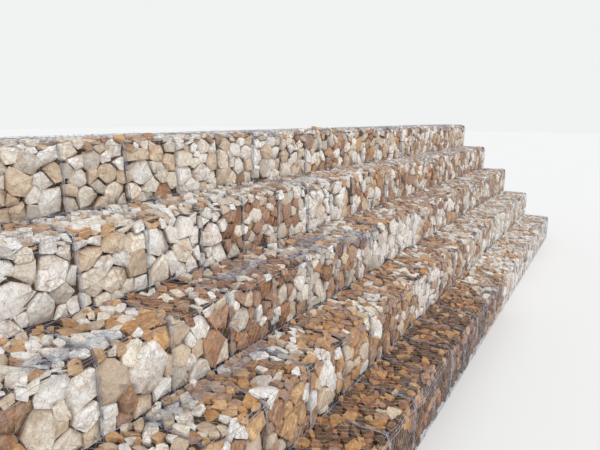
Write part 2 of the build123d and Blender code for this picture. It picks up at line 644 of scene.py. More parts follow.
def resampled(rng, outline, corners):
    """Points evenly round an outline, as many as asked, from a random start."""
    turned = np.linspace(0, len(outline), corners, endpoint=False) + rng.uniform(0, len(outline))
    k, part = np.divmod(turned, 1)
    k = k.astype(int) % len(outline)
    part = part[:, None]
    return outline[k] * (1 - part) + outline[(k + 1) % len(outline)] * part


def lay_stone(heap, rng, place, outline, stretch, shape, colour):
    """One stone in a bed. shape holds the models, relief, tip and thickness of its kind."""
    if shape["models"] is rubble_stones:
        model = rubble_stones[rng.integers(len(rubble_stones))]
        outline = resampled(rng, outline, RUBBLE_SIDES)
    else:
        models = shape["models"][len(outline)]
        model = models[rng.integers(len(models))]
        outline = np.roll(outline, rng.integers(len(outline)), axis=0)
    middle = outline.mean(axis=0)
    corner, after = outline - middle, np.roll(outline, -1, axis=0) - middle
    along = model["along"][:, None]
    offset = (corner[model["side"]] * (1 - along) + after[model["side"]] * along) * model["share"][:, None]
    offset *= shape["spread"] * rng.uniform(*SPREAD_VARIES)
    size = np.linalg.norm(corner, axis=1).mean()
    offset += rng.normal(0, OUTLINE_SHAKE * size, offset.shape)
    thick = min(shape["thickness"] * size, shape["deepest"])
    tip = rng.normal(0, shape["tip"], 2)
    relief = rng.uniform(*shape["relief"])
    height = relief + (model["height"] - 1) * thick + offset @ tip
    height += rng.normal(0, SURFACE_SHAKE * size, height.shape) * (model["height"] > UNDERSIDE)
    height = np.minimum(height, shape["highest"])
    u, v = middle[0] + offset[:, 0], (middle[1] + offset[:, 1]) * stretch
    # How deep a point lies below its stone's face; from this the material paints shade and clay on the sides.
    depth = np.clip((relief - height) / IN_THE_DARK, 0, 1)
    tint, rusty = colour
    spots = np.column_stack((u, v, np.ones(len(u)))) if shape is back_shape else None
    heap.add_stone(place(u, v, height), model["faces"], tint, rusty, depth, rng.uniform(), spots)


# %% Fill one basket, at the front or on a flat side
FACE_SIZES = ((0.19, 5), (0.155, 18), (0.125, 50), (0.095, 140), (0.07, 240))
RUBBLE_SCALE = 0.58
BACK_SCALE = 1.07
STRETCHES = (0.9, 1.25)
JOINT_GAP = 0.016
JOINT_GAPS = (0.000, 0.010)
FACE_CLAY = 0.35
TREAD_CLAY = 0.7
FINER_LOADS = {"brown": 0.78, "grey": 0.88, "warm": 0.92, "dun": 0.92, "earth_and_trench_shade": 0.8, "damp_and_trench_shade": 0.85}


def fill_front(heap, rng, course, left, right):
    """Packs a basket's face and tread, round the stones that were chosen for it."""
    inset, far_inset = rng.uniform(*JOINT_GAPS, size=2)
    width = right - left - inset - far_inset
    length = float(course_lines[course]["s"][-1])
    stretch = rng.uniform(*STRETCHES)
    room = (width, length / stretch)
    chosen = [stone for stone in CHOSEN_STONES.get(course, ()) if left < stone[0] < right]
    fineness = FINER_LOADS.get(load_at(FACE_LOADS[course], (left + right) / 2), 1.0)

    def size_at(v):
        return fineness if v * stretch < edge_s else RUBBLE_SCALE

    first = [(x - left - inset, s / stretch, radius) for x, s, radius, name in chosen]
    beds = pack(rng, *room, size_at, FACE_SIZES, first)
    bent = bent_place(course)

    def place(u, v, height):
        return bent(left + inset + np.clip(u, 0, width), v, height)

    for i in range(len(beds)):
        outline = bed_outline(rng, beds, i, *room)
        if outline is None:
            continue
        x, s = left + inset + beds[i, 0], beds[i, 1] * stretch
        on_face = s < edge_s
        shape = face_shape if on_face else rubble_shape
        load = load_at((FACE_LOADS if on_face else TREAD_LOADS)[course], x)
        clay = clay_at(course, x, s) * (FACE_CLAY if on_face else TREAD_CLAY)
        colour = shade_of(rng, chosen[i][3]) if i < len(chosen) else draw_colour(rng, load, clay)
        lay_stone(heap, rng, place, outline, stretch, shape, colour)


def fill_upright(heap, rng, place, width):
    """Packs one basket's flat back or end, of full height, from a load of its own."""
    load = BACK_LOADS[rng.integers(len(BACK_LOADS))]
    beds = pack(rng, width, BASKET, lambda v: BACK_SCALE, FACE_SIZES)
    for i in range(len(beds)):
        outline = bed_outline(rng, beds, i, width, BASKET)
        if outline is not None:
            lay_stone(heap, rng, place, outline, 1.0, back_shape, draw_colour(rng, load))


# %% [markdown]
# ## Stones that one would remember
# A few stones stand out by their size or whiteness: a boulder low in the third course,
# pale slabs on the edges of the treads. Chance would put them elsewhere, so they are
# set first, each with its x, its s up the face, its radius and its colour, and the
# others are packed round them. On the crest lie some that were left over when the
# baskets were closed, and small ones have rolled into the corner where a tread meets
# the next face.

# %% Choose the stones that stand out
CHOSEN_STONES = {
    5: [(-8.20, 0.19, 0.17, "chalk"), (-8.55, 0.50, 0.16, "tan"), (-7.55, 0.70, 0.14, "grey"),
        (-7.20, 0.22, 0.15, "cream"), (-5.45, 0.35, 0.17, "chalk"), (-4.50, 0.75, 0.15, "chalk")],
    4: [(-9.25, 0.42, 0.20, "chalk"), (-8.95, 0.16, 0.17, "chalk"), (-8.78, 0.60, 0.18, "chalk"),
        (-8.30, 0.32, 0.15, "cream"), (-7.98, 0.28, 0.17, "cream"), (-7.70, 0.66, 0.16, "cream"),
        (-7.28, 0.62, 0.17, "chalk"), (-6.30, 0.52, 0.20, "chalk"), (-6.10, 0.20, 0.15, "chalk")],
    3: [(-8.36, 0.48, 0.25, "chalk"), (-9.60, 0.45, 0.16, "cream"), (-6.72, 0.50, 0.19, "grey"),
        (-8.85, 1.12, 0.13, "chalk"), (-5.25, 0.66, 0.12, "chalk")],
    2: [(-7.30, 1.10, 0.14, "chalk"), (-7.12, 1.36, 0.12, "chalk"), (-7.70, 0.45, 0.20, "tan"),
        (-5.85, 0.40, 0.14, "chalk"), (-4.80, 0.45, 0.16, "tan")],
}
LOOSE_STONES = (
    (-7.05, 1.02, 0.10, "ochre"), (-6.80, 1.12, 0.09, "tan"), (-6.45, 1.10, 0.12, "brown"),
    (-2.05, 1.06, 0.09, "chalk"), (-1.80, 1.12, 0.08, "cream"), (-1.45, 1.08, 0.10, "ochre"),
    (-1.10, 1.15, 0.09, "tan"), (-0.75, 1.07, 0.09, "cream"), (-0.40, 1.12, 0.10, "ochre"),
    (0.05, 1.08, 0.09, "chalk"), (3.4, 1.20, 0.10, "tan"), (6.1, 1.15, 0.09, "cream"),
)
print("chosen stones:", sum(len(stones) for stones in CHOSEN_STONES.values()), "loose:", len(LOOSE_STONES))

# %% Lay the loose stones and those at the foot of a face
ROUND_SHARE = 0.8
FOOT_STONE_RADII = (0.035, 0.085)
FOOT_STONES_PER_BAY = 18
FOOT_STONE_REACH = (0.2, 0.9)


def round_outline(rng, x, s, radius):
    """The bed of a stone that lies free: a ring of corners, a little longer along the wall."""
    turns = rng.uniform(0, 1) + np.linspace(0, 2 * math.pi, RUBBLE_SIDES, endpoint=False)
    return np.column_stack((x + radius * np.cos(turns), s + ROUND_SHARE * radius * np.sin(turns)))


def lay_loose_stones(heap, rng, left, right):
    """The stones that were left on the crest between two places along the wall."""
    crest = bent_place(COURSES)
    for x, s, radius, name in LOOSE_STONES:
        if left < x < right:
            outline = round_outline(rng, x, s, radius)
            lay_stone(heap, rng, crest, outline, 1.0, loose_shape, shade_of(rng, name))


def lay_foot_stones(heap, rng, course, left, right):
    """Small stones in the corner between a course's tread and the face of the next."""
    tread = bent_place(course)
    foot_s = float(course_lines[course]["s"][-1]) - TUCKED_UNDER
    inset = max(FOOT_STONE_RADII)
    for x in rng.uniform(left + inset, right - inset, FOOT_STONES_PER_BAY):
        radius = rng.uniform(*FOOT_STONE_RADII)
        outline = round_outline(rng, x, foot_s - radius * rng.uniform(*FOOT_STONE_REACH), radius)
        colour = draw_colour(rng, load_at(TREAD_LOADS[course], x))
        lay_stone(heap, rng, tread, outline, 1.0, foot_shape, colour)


# %% [markdown]
# ## What lies behind the gaps
# Between two stones the eye sees the inside of the basket: more stone, deep in shade. A
# second row of stones would cost far more triangles than it shows. So a plain heart,
# painted dark brown for the stone and its shade, closes the view there, a hand's
# breadth behind the faces and under the treads. It reaches down to the heart of the
# course below.

# %% The dark heart of a bay, stone in painted shade
HEART_INSET = 0.075
# Dark brown: the colour of stone deep in the basket, with painted shade in it.
HEART_STONE_AND_SHADE_COLOUR = linear(78, 64, 50)


def add_heart(heap, course, left, right):
    """A plain block inside a bay's stones, for what is only seen through gaps."""
    ends_in = Vector((HEART_INSET if left == wall_left else 0, HEART_INSET, HEART_INSET))
    ends_out = Vector((HEART_INSET if right == wall_right else 0, HEART_INSET, HEART_INSET))
    low = Vector((left, front_y[course], foot_z[course])) + ends_in
    high = Vector((right, back_y, foot_z[course] + BASKET)) - ends_out
    low.z -= 2 * HEART_INSET
    bpy.ops.object.select_all(action="DESELECT")
    bpy.ops.mesh.primitive_cube_add(size=1, location=(low + high) / 2, scale=high - low)
    bpy.ops.object.transform_apply(location=True, rotation=True, scale=True)
    start_editing()
    points, faces = take_stone()
    # The heart counts as deepest in its bed, so the material lays its full painted shade on it.
    heap.add_stone(points, faces, HEART_STONE_AND_SHADE_COLOUR, rusty=0.0, depth=1.0, chance=0.5)


# %% [markdown]
# ## Filling the wall bay by bay
# Each bay of a course is one piece, and takes the place of the bay's plain solid. The
# front and what lies behind draw their random numbers apart, so that a change on the
# back moves no stone that one knows from the front.

# %% Fill every bay
FRONT_SEED = 2000
BACK_SEED = 5000
stone_pieces = []
for course in course_ids:
    for bay in range(BAYS):
        rng = np.random.default_rng(FRONT_SEED + 10 * course + bay)
        behind_rng = np.random.default_rng(BACK_SEED + 10 * course + bay)
        heap = Heap()
        spans = baskets_of_bay(course, bay)
        add_heart(heap, course, spans[0][0], spans[-1][1])
        for left, right in spans:
            fill_front(heap, rng, course, left, right)
            width = right - left - 2 * JOINT_GAP
            behind = flat_place((right - JOINT_GAP, back_y, foot_z[course]), (-1, 0, 0), (0, 1, 0))
            fill_upright(heap, behind_rng, behind, width)
        for end_bay, x, outward in ((0, wall_left, -1), (BAYS - 1, wall_right, 1)):
            for k in range(COURSES - course + 1) if bay == end_bay else ():
                start = front_y[course] + k * BASKET + (BASKET if outward < 0 else 0)
                side = flat_place((x, start, foot_z[course]), (0, outward, 0), (outward, 0, 0))
                fill_upright(heap, behind_rng, side, BASKET)
        if course == COURSES:
            lay_loose_stones(heap, behind_rng, spans[0][0], spans[-1][1])
        else:
            lay_foot_stones(heap, behind_rng, course, spans[0][0], spans[-1][1])
        piece = heap.make(f"stones_course_{course}_bay_{bay + 1}")
        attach(piece, "root")
        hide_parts(f"course_{course}_bay_{bay + 1}")
        stone_pieces.append(piece)
print("stone pieces:", len(stone_pieces), "triangles:", sum(len(p.data.polygons) for p in stone_pieces))

# %% [markdown]
# ## The woven mesh
# Gabion mesh is woven of galvanised wire. Neighbouring wires are twisted round each
# other, part, and are twisted with the next, which leaves hexagons 100 mm across. The
# twists are modelled once, as a slim spindle, and copied in rows, every second one half
# a mesh over. Between two rows the parted wires make one zigzag, which is laid as one
# wire. An Array modifier would make a flat sheet too, but this one has to lie over the
# stones, so its points are bent over the same form as the packing. On some baskets the
# lid laps over the front, and the mesh lies double there. In a few places spare mesh is
# folded down and shows as a blue-grey tangle.

# %% Model a twist of two wires
MESH_WIDTH = 0.100
ROW_PITCH = 0.090
TWIST_LENGTH = 0.045
TWIST_RADIUS = 0.0036
SAME_POINT = 0.0001


def read_piece():
    """Reads the object in hand into arrays of points and triangles and takes it away."""
    start_editing()
    bpy.ops.mesh.remove_doubles(threshold=SAME_POINT)
    return take_stone()


def twist_shape():
    """Two three-sided cones, base to base, along Y."""
    bpy.ops.object.select_all(action="DESELECT")
    half = TWIST_LENGTH / 2
    for side in (1, -1):
        bpy.ops.mesh.primitive_cone_add(
            vertices=3, radius1=TWIST_RADIUS, depth=half, end_fill_type="NOTHING",
            location=(0, side * half / 2, 0), rotation=(-side * math.pi / 2, 0, 0),
        )
        bpy.ops.object.transform_apply(location=True, rotation=True, scale=True)
    for cone in bpy.context.scene.objects:
        cone.select_set(cone.name.startswith("Cone"))
    bpy.ops.object.join()
    return read_piece()


twist = twist_shape()
print("faces of a twist:", len(twist[1]))

# %% A weave of wires
TRIANGLE = np.radians((90, 210, 330))


class Weave(Pile):
    """A pile of wires and of copies of small shapes."""

    def lay_copies(self, place, shape, u, v, h):
        """A copy of a small shape at each u, v, h."""
        points, faces = shape
        uu, vv, hh = (np.add.outer(at, points[:, k]).ravel() for k, at in enumerate((u, v, h)))
        copies = np.arange(len(u))[:, None, None] * len(points) + faces
        self.add(place(uu, np.maximum(vv, 0), hh), copies.reshape(-1, 3))

    def lay_wire(self, place, u, v, h, radius, along):
        """A closed three-sided wire through points u, v, h that runs mainly along "u" or "v"."""
        side, up = radius * np.cos(TRIANGLE), radius * np.sin(TRIANGLE)
        uu = u[:, None] + side * (along == "v")
        vv = v[:, None] + side * (along == "u")
        hh = h[:, None] + up
        ring = np.arange(3)
        first = (np.arange(len(u) - 1)[:, None] * 3 + ring).ravel()
        after = (np.arange(len(u) - 1)[:, None] * 3 + (ring + 1) % 3).ravel()
        last = 3 * (len(u) - 1)
        faces = np.vstack((
            np.column_stack((first, after, after + 3)), np.column_stack((first, after + 3, first + 3)),
            ((0, 2, 1), (last, last + 1, last + 2)),
        ))
        self.add(place(uu.ravel(), vv.ravel(), hh.ravel()), faces if along == "u" else faces[:, ::-1])

    def make(self, name):
        piece = super().make(name)
        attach(piece, "root")
        return piece


# %% Weave a sheet of mesh
WIRE_RADIUS = 0.0015
MESH_HEIGHT = 0.022
MESH_WANDER = 0.003
INTO_THE_TWIST = 0.004


def mesh_height(u, v, phases):
    """The mesh rises and falls a little from stone to stone."""
    waves = np.sin(17 * u + phases[0]) + np.sin(13 * v + phases[1]) + np.sin(23 * (u + v) + phases[2])
    return MESH_HEIGHT + MESH_WANDER * waves


def weave_sheet(weave, rng, place, width, length, hidden_rows=0):
    """Mesh over a width and length: a row of twists and a zigzag above it, row after row."""
    columns, rows = round(width / MESH_WIDTH), round(length / ROW_PITCH)
    pitch, phases = length / rows, rng.uniform(0, 2 * math.pi, 3)
    twist_end = TWIST_LENGTH / 2 - INTO_THE_TWIST
    zigzag = np.linspace(0, width, 2 * columns + 1)
    for row in range(rows - hidden_rows):
        v = (row + 0.5) * pitch
        odd = row % 2
        twists = (np.arange(columns + odd) + 0.5 - 0.5 * odd) * width / columns
        weave.lay_copies(place, twist, twists, np.full(len(twists), v), mesh_height(twists, v, phases))
        if row < rows - 1:
            low = np.arange(len(zigzag)) % 2 != odd
            zigzag_v = np.where(low, v + twist_end, v + pitch - twist_end)
            weave.lay_wire(place, zigzag, zigzag_v, mesh_height(zigzag, zigzag_v, phases), WIRE_RADIUS, "u")


# %% Fold spare mesh down on a tread
FOLDED_MESH = (
    (3, -9.6, 1.00), (3, -6.7, 1.25), (3, -5.3, 0.98), (3, -4.6, 1.30), (2, -8.6, 1.58), (2, -7.4, 1.60),
    (3, -3.9, 0.84), (3, -3.2, 0.72),
)
FOLDED_WIDTH = 1.0
FOLDED_LENGTH = 0.72
FOLD_LAYERS = 3
FOLD_SQUEEZE = 0.38
FOLD_RATE = 26
FOLD_SWAY = 3
FOLD_SWAY_RATE = 5
FOLD_ACROSS = 0.03
FOLD_LIFT = 0.016
FOLD_HEIGHT = 0.012
FOLD_ASKEW = 0.08


def lay_folded_mesh(weave, rng, course, x, s):
    """Spare mesh, folded like a curtain and trodden down on a tread or an edge."""
    bent = bent_place(course)
    for _ in range(FOLD_LAYERS):
        phase = rng.uniform(0, 2 * math.pi)
        askew = rng.uniform(-FOLD_ASKEW, FOLD_ASKEW)

        def place(u, v, h, phase=phase, askew=askew):
            fold = np.sin(FOLD_RATE * v + FOLD_SWAY * np.sin(FOLD_SWAY_RATE * u) + phase)
            across = s + FOLD_SQUEEZE * v + FOLD_ACROSS * fold + askew * u
            return bent(x + u, across, h + FOLD_LIFT + FOLD_HEIGHT * fold)

        weave_sheet(weave, rng, place, FOLDED_WIDTH, FOLDED_LENGTH)


# %% [markdown]
# ## Laced edges
# Each basket's panels end in a stout edge wire, and neighbouring baskets are laced
# together edge to edge. So every joint shows a small sheaf of wires over a dark gap,
# with a loop of lacing wire every hand's breadth, and more wires run along the edges.
# Over a tread the sheaf lies lower, half sunk between the stones.

# %% Model a loop of lacing wire
LOOP_RADIUS = 0.021
LACING_RADIUS = 0.0016
LOOP_TILT = math.radians(72)


def loop_shape():
    """One turn of lacing wire round a sheaf, lying across Y."""
    bpy.ops.object.select_all(action="DESELECT")
    bpy.ops.mesh.primitive_torus_add(
        major_segments=5, minor_segments=3, major_radius=LOOP_RADIUS, minor_radius=LACING_RADIUS,
        rotation=(LOOP_TILT, 0, 0),
    )
    bpy.ops.object.transform_apply(location=True, rotation=True, scale=True)
    return read_piece()


lacing_loop = loop_shape()
print("faces of a loop:", len(lacing_loop[1]))

# %% Lay the edge wires and loops, up the joints and along the wall
EDGE_RADIUS = 0.0024
SHEAF = ((-0.021, 0.017), (0.020, 0.019), (-0.009, 0.025), (0.010, 0.024), (0.0, 0.010))
BACK_SHEAF = ((-0.012, 0.012), (0.011, 0.015), (0.0, 0.004))
FEWEST_EDGE_WIRES = 3
SHEAF_PITCH = 0.16
SHEAF_WIDTHS = (0.5, 1.2)
SHEAF_LEAN = 0.012
SHEAF_SHAKE = 0.006
TREAD_SINK = 0.020
LOOP_PITCH = 0.19
LOOP_HEIGHT = 0.012
LONG_PITCH = 0.30
LONG_SHAKE = 0.009
LOWEST_WIRE = 0.003
FRONT_EDGE_ROWS = ((edge_s - 0.01, 0.022), (edge_s + 0.035, 0.026), (edge_s + 0.08, 0.024))
FOOT_ROWS = ((0.025, 0.020), (0.045, 0.024))
BACK_ROWS = ((0.012, 0.020), (0.030, 0.016), (BASKET - 0.030, 0.016), (BASKET - 0.012, 0.020))


def lay_sheaf(weave, rng, place, x, length, sheaf, loops):
    """The edge wires of two neighbouring baskets, up a joint and on over the tread."""
    v = np.linspace(0.0, length, round(length / SHEAF_PITCH) + 1)
    sink = TREAD_SINK * np.clip((v - edge_s) / EDGE_REACH - 0.5, 0, 1)
    lean = np.interp(v, (0, length / 2, length), rng.normal(0, SHEAF_LEAN, 3))
    wideness = rng.uniform(*SHEAF_WIDTHS)
    for aside, h in sheaf[:rng.integers(FEWEST_EDGE_WIRES, len(sheaf) + 1)]:
        shake = rng.normal(0, SHEAF_SHAKE, (2, len(v)))
        across = x + aside * wideness + lean + shake[0]
        weave.lay_wire(place, across, v, h + shake[1] - sink, EDGE_RADIUS, "v")
    if loops:
        v = np.arange(LOOP_PITCH / 2, edge_s + LOOP_PITCH, LOOP_PITCH)
        weave.lay_copies(place, lacing_loop, np.full(len(v), x), v, np.full(len(v), LOOP_HEIGHT))


def lay_long_edge(weave, rng, place, left, right, rows):
    """Edge wires that run along the wall. rows are pairs of s and height."""
    u = np.linspace(left, right, round((right - left) / LONG_PITCH) + 1)
    for s, h in rows:
        shake = rng.normal(0, LONG_SHAKE, (2, len(u)))
        weave.lay_wire(place, u, np.maximum(s + shake[0], LOWEST_WIRE), h + shake[1] / 3, EDGE_RADIUS, "u")


# %% [markdown]
# ## Wiring the wall course by course
# A lid and a front run on over all the baskets of a course, so the mesh of each course
# is one piece and its laced edges are another, which takes the place of the course's
# plain edge wires. A sheet starts half a joint in from its basket's sides. Where the
# next course stands on a tread, the last row of mesh lies under it and is left out.

# %% Weave the mesh and lace the edges of every course
LAP_START = edge_s - 0.10
LAP_LENGTH = 0.54
LAP_HEIGHT = 0.006
LAP_CHANCE = 0.2
HIDDEN_ROWS = {c: 0 if c == COURSES else 1 for c in course_ids}
END_INSET = 0.020


def shifted(bent, x, s=0.0, lift=0.0):
    """The bent form of a course, counted from another x, s and height."""
    return lambda u, v, h: bent(x + u, s + v, lift + h)


wire_pieces = []
for course in course_ids:
    rng = np.random.default_rng(course)
    bent = bent_place(course)
    length = float(course_lines[course]["s"][-1])
    lines = joint_lines(course)
    inside_lines = [min(max(x, wall_left + END_INSET), wall_right - END_INSET) for x in lines]
    sheet, edges = Weave(), Weave()
    for left, right in zip(lines, lines[1:]):
        start, width = left + JOINT_GAP / 2, right - left - JOINT_GAP
        weave_sheet(sheet, rng, shifted(bent, start), width, length, HIDDEN_ROWS[course])
        if rng.uniform() < LAP_CHANCE:
            lap = shifted(bent, start, LAP_START, LAP_HEIGHT)
            weave_sheet(sheet, rng, lap, width, LAP_LENGTH)
    for folded_course, x, s in FOLDED_MESH:
        if folded_course == course:
            lay_folded_mesh(sheet, rng, course, x, s)
    behind = flat_place((0, back_y, foot_z[course]), (-1, 0, 0), (0, 1, 0))
    for x in inside_lines:
        lay_sheaf(edges, rng, bent, x, length, SHEAF, loops=True)
        lay_sheaf(edges, rng, behind, -x, BASKET, BACK_SHEAF, loops=False)
    lay_long_edge(edges, rng, bent, wall_left, wall_right, FRONT_EDGE_ROWS + FOOT_ROWS)
    lay_long_edge(edges, rng, behind, wall_left, wall_right, BACK_ROWS)
    wire_pieces.append(sheet.make(f"woven_mesh_course_{course}"))
    wire_pieces.append(edges.make(f"laced_edges_course_{course}"))
    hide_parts(f"course_{course}_cage")
print("wire pieces:", {p.name: len(p.data.polygons) for p in wire_pieces})
print("triangles in all:", sum(len(p.data.polygons) for p in stone_pieces + wire_pieces))

# %% [markdown]
# ## Shader maths as plain expressions
# A node tree is hard to read as a list of links. A small class wraps a socket, so that
# a sum of two sockets adds a Math node by itself, and one method adds any other node.
# Sockets go by their name, or by their number where several share a name, as on a Mix
# node, whose colours are inputs 6 and 7 and output 2.

# %% Sockets that can be added and multiplied
class Signal:
    """An output socket that can be added to, multiplied and so on."""

    def __init__(self, shader, socket):
        self.shader, self.socket = shader, socket

    def math(self, operation, first, second):
        return self.shader.add("Math", {"operation": operation}, {0: first, 1: second})

    def __add__(self, other):
        return self.math("ADD", self, other)

    def __sub__(self, other):
        return self.math("SUBTRACT", self, other)

    def __rsub__(self, other):
        return self.math("SUBTRACT", other, self)

    def __mul__(self, other):
        return self.math("MULTIPLY", self, other)

    def __truediv__(self, other):
        return self.math("DIVIDE", self, other)

    __radd__ = __add__
    __rmul__ = __mul__


# %% A short notation for nodes
OBJECT_COORDINATES = 3
MIXED_COLOUR = 2


class Shader:
    """A material with a Principled shader, and a method that adds any other node."""

    def __init__(self, name):
        self.material = bpy.data.materials.new(name)
        self.material.use_nodes = True
        self.tree = self.material.node_tree
        self.surface = self.tree.nodes["Principled BSDF"]

    def plug(self, socket, value):
        if isinstance(value, Signal):
            self.tree.links.new(value.socket, socket)
        else:
            socket.default_value = value

    def add(self, kind, settings, sockets, output=0):
        node = self.tree.nodes.new("ShaderNode" + kind)
        for key, value in settings.items():
            if key == "stops":
                for k, (place, level) in enumerate(value):
                    stop = node.color_ramp.elements[k] if k < 2 else node.color_ramp.elements.new(place)
                    stop.position, stop.color = place, (level, level, level, 1)
            else:
                setattr(node, key, value)
        for key, value in sockets.items():
            self.plug(node.inputs[key], value)
        return Signal(self, node.outputs[output])

    def place(self):
        """Where a point lies on the piece, in metres."""
        return self.add("TexCoord", {}, {}, output=OBJECT_COORDINATES)

    def attribute(self, name, output=0):
        return self.add("Attribute", {"attribute_name": name}, {}, output)

    def noise(self, where, scale, detail=4.0, roughness=0.6):
        look = {"Scale": scale, "Detail": detail, "Roughness": roughness}
        return self.add("TexNoise", {}, {"Vector": where, **look})

    def ramp(self, value, low, high):
        return self.add("ValToRGB", {"stops": ((low, 0.0), (high, 1.0))}, {0: value})

    def mix(self, factor, first, second, blend="MIX"):
        settings = {"data_type": "RGBA", "blend_type": blend, "clamp_result": True}
        return self.add("Mix", settings, {0: factor, 6: first, 7: second}, output=MIXED_COLOUR)

    def set(self, **values):
        for key, value in values.items():
            self.plug(self.surface.inputs[key.replace("_", " ")], value)


# %% [markdown]
# ## Limestone
# Broken limestone is matt and pitted. Its colour drifts within one stone and runs in
# faint seams, and the rusty stones are broken up into fragments of many tones. Clay
# stains it ochre where water ran and along its edges; on the sides that go down into the
# bed that clay is partly painted warm shade, and painted shade darkens those sides too.
# A photograph of stone would repeat itself, so all of it is noise, and each stone's
# chance number moves and turns the pattern.

# %% The colours of the finish
SHADE_COLOUR = (*linear(66, 55, 46), 1)
CLAY_COLOUR = (*linear(164, 120, 78), 1)
RUST_COLOUR = (*linear(196, 128, 62), 1)
TAN_PATCH = (*linear(208, 170, 126), 1)
CRACK_COLOUR = (*linear(104, 86, 70), 1)
WIRE_DARK = (*linear(120, 126, 144), 1)
WIRE_PALE = (*linear(196, 201, 210), 1)
PALER = (1.55, 1.65, 1.75, 1)
CLOUD_TONES = ((0.90, 0.88, 0.85, 1), (1.06, 1.06, 1.06, 1))
GRAIN_TONES = ((0.70, 0.65, 0.58, 1), (1.10, 1.10, 1.10, 1))
FRAGMENT_TONES = ((0.70, 0.66, 0.62, 1), (1.24, 1.23, 1.21, 1))


# %% The patterns that the finish is made of
def stone_patterns(stone):
    """The marks of a stone, and noise at several scales that is moved and turned for each."""
    marks = stone.attribute("stone_marks")
    rusty, depth, chance = (stone.add("SeparateColor", {}, {0: marks}, output=k) for k in range(3))
    apart = stone.add("CombineXYZ", {}, {0: chance * 9.0, 1: rusty * 7.0, 2: chance * 5.0})
    own = stone.add("VectorMath", {"operation": "ADD"}, {0: stone.place(), 1: apart})
    turned = stone.add("VectorRotate", {"rotation_type": "Y_AXIS"}, {"Vector": own, "Angle": chance * 40.0})
    seams = stone.add("Mapping", {}, {0: turned, 2: (0.5, 0.3, 0.0), 3: (14.0, 14.0, 4.0)})
    return SimpleNamespace(
        rusty=rusty, depth=depth, chance=chance, own=own, turned=turned,
        mottled=stone.ramp(chance, 0.35, 0.70),
        cloud=stone.noise(own, 4.5),
        mottle=stone.noise(own, 15.0, 6.0, 0.78),
        speckle=stone.noise(own, 60.0, 6.0, 0.75),
        streak=stone.noise(seams, 1.5, 4.0, 0.65),
    )


# %% The colour, from the clean stone to its stains and shade
def body_colour(stone, look):
    """The stone's own colour, with its clouds, its grain and patches of tan."""
    tone = stone.mix(stone.ramp(look.cloud, 0.3, 0.7), *CLOUD_TONES)
    colour = stone.mix(1.0, stone.attribute("stone_tint"), tone, "MULTIPLY")
    grain = stone.mix(stone.ramp(look.mottle, 0.40, 0.58), *GRAIN_TONES)
    colour = stone.mix(0.32 + look.rusty * 0.63, colour, grain, "MULTIPLY")
    patch = stone.ramp(stone.noise(look.own, 10.0, 5.0, 0.72), 0.54, 0.59)
    return stone.mix(patch * look.mottled * (0.5 - look.rusty * 0.2), colour, TAN_PATCH)


def broken_colour(stone, look, colour):
    """Seams, pale and dark blotches and crooked fragments, which show most in rusty stones."""
    seam = stone.ramp(look.streak, 0.50, 0.66)
    colour = stone.mix(seam * (0.1 + look.rusty * 0.4), colour, CLAY_COLOUR)
    pale = stone.ramp(stone.noise(look.turned, 10.0, 5.0, 0.72), 0.49, 0.57)
    colour = stone.mix(pale * look.rusty * 0.85, colour, PALER, "MULTIPLY")
    blotch = stone.ramp(stone.noise(look.turned, 11.0, 5.0, 0.75), 0.52, 0.66)
    colour = stone.mix(blotch * (0.08 + look.rusty * 0.45), colour, CRACK_COLOUR)
    crooked = stone.add("VectorMath", {"operation": "ADD"}, {0: look.own, 1: look.mottle * 0.14})
    fragments = stone.add("TexVoronoi", {}, {"Vector": crooked, "Scale": 12.0}, output=1)
    tone = stone.mix(stone.ramp(fragments, 0.2, 0.8), *FRAGMENT_TONES)
    return stone.mix(0.1 + look.rusty * 0.7, colour, tone, "MULTIPLY")


def stained_and_shaded_colour(stone, look, colour):
    """Rust stains, and clay along the edges, which is partly painted warm shade on the sides."""
    rust = stone.ramp(stone.noise(look.turned, 9.0, 5.0, 0.75) + look.rusty * 0.07, 0.53, 0.63)
    colour = stone.mix(rust * (look.mottled * 0.15 + look.rusty * 0.5), colour, RUST_COLOUR)
    # Clay on the sides that go down into the bed: partly a real stain, partly painted warm shade.
    edge = stone.ramp(look.depth + look.streak * 0.3, 0.3, 0.75)
    return stone.mix(edge * 0.4, colour, CLAY_COLOUR)


def cracks_of(stone, look):
    """Fine cracks, which only some stones have, and not all over."""
    cells = stone.add("TexVoronoi", {"feature": "DISTANCE_TO_EDGE"}, {"Vector": look.own, "Scale": 6.5})
    crack = (1 - stone.ramp(cells + look.streak * 0.04, 0.018, 0.034)) * stone.ramp(look.chance, 0.55, 0.85)
    return crack * stone.ramp(look.cloud, 0.44, 0.56)


# %% [markdown]
# ## Wire that is only painted
# Real wires all round would pass a million triangles. On the back and the ends the mesh
# is therefore drawn by the stones' own material, with some relief. A wire goes straight
# up by its twist and aslant to the next column, and its neighbour does the same the
# other way. A point is painted where it is close to either of the two.

# %% Draw the hexagons
PAINTED_WIRE = (0.0018, 0.0030)
MAGNIFIED = 100


